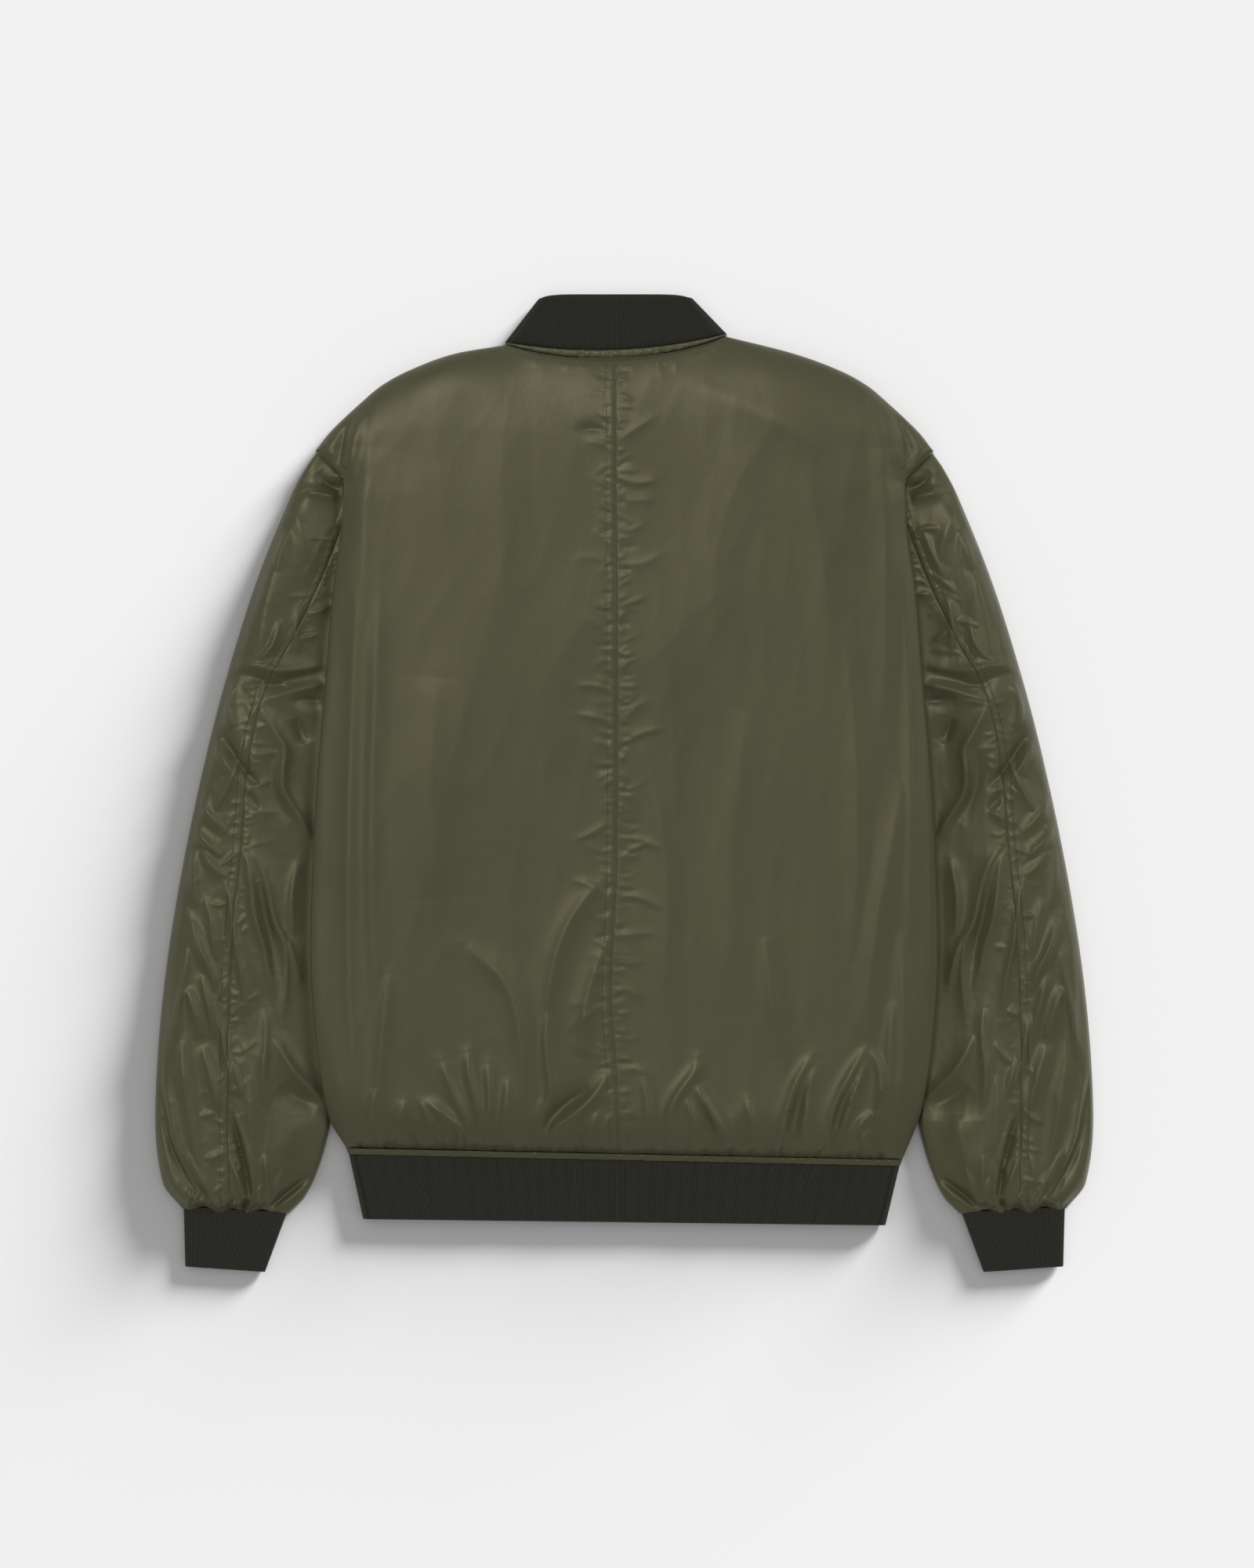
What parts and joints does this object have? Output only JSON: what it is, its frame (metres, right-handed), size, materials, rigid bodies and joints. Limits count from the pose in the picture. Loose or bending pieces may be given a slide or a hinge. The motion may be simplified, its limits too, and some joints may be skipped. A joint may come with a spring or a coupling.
{
  "type": "bomber jacket laid flat face down",
  "caption": "Padded bomber jacket with rib collar, cuffs and hem, zipped up and laid flat face down, sleeves beside the body.",
  "frame": {"origin": "on the table, under the middle of the jacket's outline", "axes": "+X across the back to the right, +Y up the back to the collar, +Z off the table"},
  "size_m": [0.756, 0.7872, 0.0356],
  "materials": {
    "shell": "smooth olive satin nylon, softly shiny",
    "rib": "fine vertical rib knit, matt",
    "tape": "woven zip tape, matt",
    "metal": "satin metal zip"
  },
  "bodies": {
    "jacket": {"back_left": "shell", "back_right": "shell", "front_left": "shell", "front_right": "shell", "sleeve_outer_left": "shell", "sleeve_under_left": "shell", "sleeve_outer_right": "shell", "sleeve_under_right": "shell", "neck_band": "shell", "hem_band": "shell", "collar_rib": "rib", "hem_rib": "rib", "cuff_left": "rib", "cuff_right": "rib", "zip_tape_left": "tape", "zip_tape_right": "tape", "zip_chain": "metal", "zip_slider": "metal", "zip_bridge": "metal"},
    "pull_tab": {"zip_pull": "metal"}
  },
  "joints": [
    {"name": "pull_tab_hinge", "type": "hinge", "parent": "jacket", "child": "pull_tab", "pos_m": [0, 0.2779, 0.00215], "axis": [1, 0, 0], "range_deg": [0, 170]}
  ]
}
